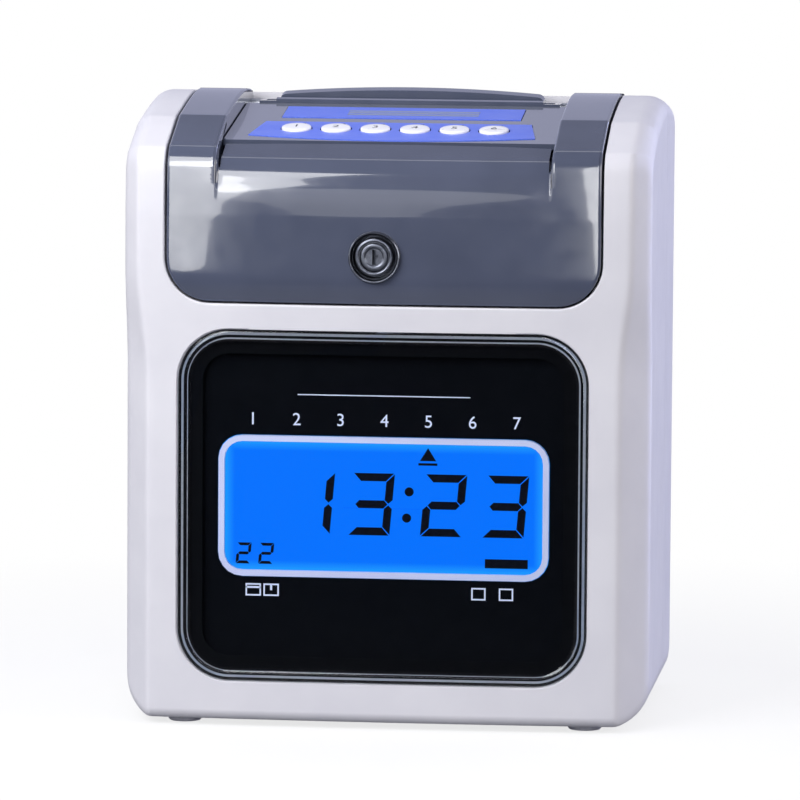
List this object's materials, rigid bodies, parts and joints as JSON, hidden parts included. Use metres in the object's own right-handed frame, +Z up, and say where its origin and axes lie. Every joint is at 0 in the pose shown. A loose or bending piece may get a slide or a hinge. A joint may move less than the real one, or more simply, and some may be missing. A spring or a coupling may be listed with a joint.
{
  "type": "punch card time clock",
  "caption": "Electronic punch card time clock with a hinged locking lid, a display window, oval column keys and a card slot on its sloping top.",
  "frame": {"origin": "on the table, under the middle of the clock's width and depth", "axes": "+X to the clock's right seen from the front, +Y from its front to its back, +Z up"},
  "size_m": [0.22, 0.15, 0.26],
  "materials": {
    "white_abs": "moulded, fine texture",
    "blue_grey_abs": "moulded, polished",
    "clear_acrylic": "clear, polished",
    "black_plastic": "moulded",
    "pale_plastic": "moulded",
    "lcd_blue": "lit display film",
    "label_blue": "printed film",
    "circuit_board": "solder mask",
    "key_white": "moulded",
    "zinc_steel": "zinc plated",
    "lock_metal": "dark nickel plated",
    "brass": "rolled",
    "rubber": "moulded",
    "white_nylon": "moulded",
    "ribbon_ink": "inked nylon",
    "transformer_steel": "varnished sheet stack"
  },
  "bodies": {
    "casing": {"front_housing": "white_abs", "rear_housing": "white_abs", "key_deck": "blue_grey_abs", "card_throat": "blue_grey_abs", "window_lens": "clear_acrylic", "display_mask": "black_plastic", "platen": "black_plastic", "buzzer": "black_plastic", "power_inlet": "black_plastic", "lcd_frame": "pale_plastic", "lcd_backlight": "pale_plastic", "lcd_panel": "lcd_blue", "key_label": "label_blue", "card_label": "label_blue", "backup_battery": "label_blue", "display_board": "circuit_board", "key_board": "circuit_board", "main_board": "circuit_board", "case_screw_1": "zinc_steel", "case_screw_2": "zinc_steel", "case_screw_3": "zinc_steel", "case_screw_4": "zinc_steel", "hinge_rod": "zinc_steel", "card_chute_front": "zinc_steel", "card_chute_rear": "zinc_steel", "mechanism_frame": "zinc_steel", "guide_rod": "zinc_steel", "carriage_motor": "zinc_steel", "feed_motor": "zinc_steel", "cradle_rod": "zinc_steel", "foot_1": "rubber", "foot_2": "rubber", "foot_3": "rubber", "foot_4": "rubber", "transformer": "transformer_steel"},
    "lid": {"top_lid": "blue_grey_abs", "lock_barrel": "lock_metal", "lock_nut": "zinc_steel"},
    "lock": {"lock_plug": "lock_metal", "lock_cam": "zinc_steel"},
    "carriage": {"print_carriage": "black_plastic", "print_head": "black_plastic"},
    "screw": {"lead_screw": "brass"},
    "feed": {"feed_shaft": "zinc_steel", "feed_roller_left": "rubber", "feed_roller_right": "rubber", "feed_gear": "white_nylon"},
    "pinion": {"feed_pinion": "white_nylon"},
    "pinch": {"pinch_roller": "rubber"},
    "cradle": {"ribbon_cradle": "zinc_steel", "ribbon_cartridge": "black_plastic", "ribbon_tape": "ribbon_ink"},
    "knob": {"ribbon_knob": "ribbon_ink"},
    "key_1": {"column_key_1": "key_white"},
    "key_2": {"column_key_2": "key_white"},
    "key_3": {"column_key_3": "key_white"},
    "key_4": {"column_key_4": "key_white"},
    "key_5": {"column_key_5": "key_white"},
    "key_6": {"column_key_6": "key_white"}
  },
  "joints": [
    {"name": "lid_hinge", "type": "hinge", "parent": "casing", "child": "lid", "pos_m": [0, 0.0455, 0.25206], "axis": [-1, 0, 0], "range_deg": [0, 70]},
    {"name": "lock_turn", "type": "hinge", "parent": "lid", "child": "lock", "pos_m": [-0.003, -0.072, 0.1976], "axis": [0, 1, 0], "range_deg": [0, 90]},
    {"name": "carriage_slide", "type": "slide", "parent": "casing", "child": "carriage", "axis": [1, 0, 0], "range_m": [-0.034, 0.034]},
    {"name": "screw_spin", "type": "hinge", "parent": "casing", "child": "screw", "pos_m": [0, 0.014, 0.172], "axis": [1, 0, 0], "range_deg": [-1230, 1230]},
    {"name": "feed_spin", "type": "hinge", "parent": "casing", "child": "feed", "pos_m": [0, 0.02565, 0.15], "axis": [1, 0, 0], "continuous": true},
    {"name": "pinion_spin", "type": "hinge", "parent": "casing", "child": "pinion", "pos_m": [0, 0.00857, 0.13292], "axis": [1, 0, 0], "continuous": true},
    {"name": "pinch_spin", "type": "hinge", "parent": "casing", "child": "pinch", "pos_m": [0, 0.03935, 0.15], "axis": [1, 0, 0], "continuous": true},
    {"name": "cradle_lift", "type": "hinge", "parent": "casing", "child": "cradle", "pos_m": [0, -0.032, 0.1765], "axis": [1, 0, 0], "range_deg": [0, 4]},
    {"name": "knob_turn", "type": "hinge", "parent": "cradle", "child": "knob", "pos_m": [-0.036, -0.026, 0.19], "axis": [0, 0, 1], "continuous": true},
    {"name": "key_1_press", "type": "slide", "parent": "casing", "child": "key_1", "axis": [0, 0.1305, -0.9914], "range_m": [0, 0.0012], "stiffness_N_per_m": 800, "springref_m": -0.001},
    {"name": "key_2_press", "type": "slide", "parent": "casing", "child": "key_2", "axis": [0, 0.1305, -0.9914], "range_m": [0, 0.0012], "stiffness_N_per_m": 800, "springref_m": -0.001},
    {"name": "key_3_press", "type": "slide", "parent": "casing", "child": "key_3", "axis": [0, 0.1305, -0.9914], "range_m": [0, 0.0012], "stiffness_N_per_m": 800, "springref_m": -0.001},
    {"name": "key_4_press", "type": "slide", "parent": "casing", "child": "key_4", "axis": [0, 0.1305, -0.9914], "range_m": [0, 0.0012], "stiffness_N_per_m": 800, "springref_m": -0.001},
    {"name": "key_5_press", "type": "slide", "parent": "casing", "child": "key_5", "axis": [0, 0.1305, -0.9914], "range_m": [0, 0.0012], "stiffness_N_per_m": 800, "springref_m": -0.001},
    {"name": "key_6_press", "type": "slide", "parent": "casing", "child": "key_6", "axis": [0, 0.1305, -0.9914], "range_m": [0, 0.0012], "stiffness_N_per_m": 800, "springref_m": -0.001}
  ],
  "couplings": [
    {"joint": "screw_spin", "follows": "carriage_slide", "rad_per_m": -628.32},
    {"joint": "pinion_spin", "follows": "feed_spin", "ratio": -3},
    {"joint": "pinch_spin", "follows": "feed_spin", "ratio": -1.6}
  ]
}
